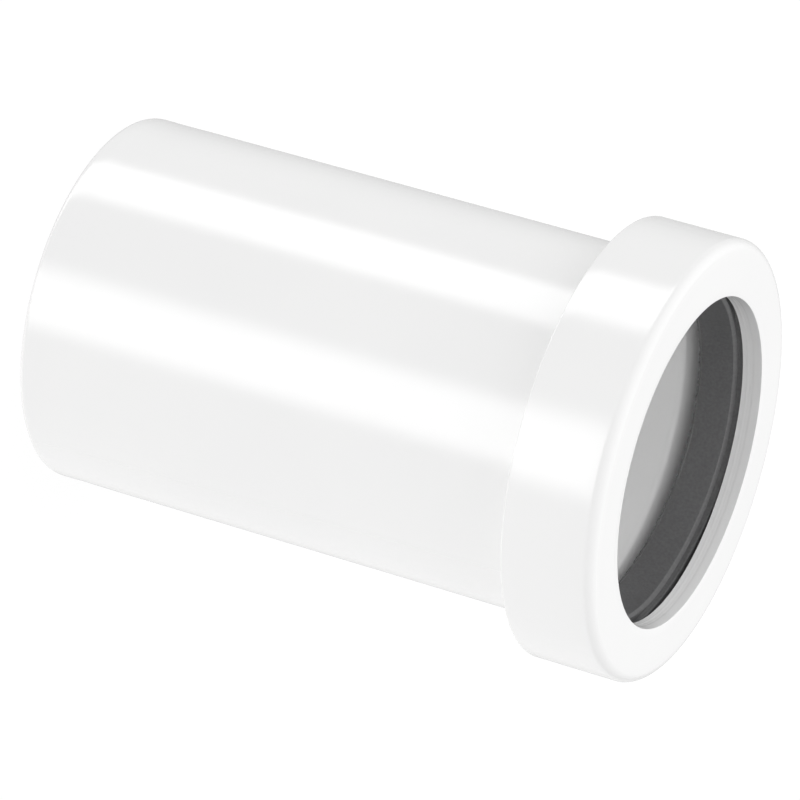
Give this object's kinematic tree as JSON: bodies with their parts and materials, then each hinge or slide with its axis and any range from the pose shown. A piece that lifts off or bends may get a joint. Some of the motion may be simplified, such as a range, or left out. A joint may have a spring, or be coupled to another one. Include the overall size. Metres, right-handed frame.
{
  "type": "straight pipe connector",
  "caption": "Straight waste-pipe coupling: a plain barrel with a glued socket at the base and a thicker collar at the mouth that holds a rubber lip seal.",
  "frame": {"origin": "centre of the plain end's flat rim, on the pipe's axis, where the part stands", "axes": "+Z along the pipe's axis, from the plain end to the mouth; round about Z, so X and Y are any two directions across it"},
  "size_m": [0.054, 0.054, 0.078],
  "materials": {
    "white_plastic": "glossy moulded white plastic with a faint parting line",
    "grey_rubber": "satin dark grey moulded rubber"
  },
  "bodies": {
    "root": {"connector_body": "white_plastic", "seal_ring": "grey_rubber"}
  },
  "joints": []
}
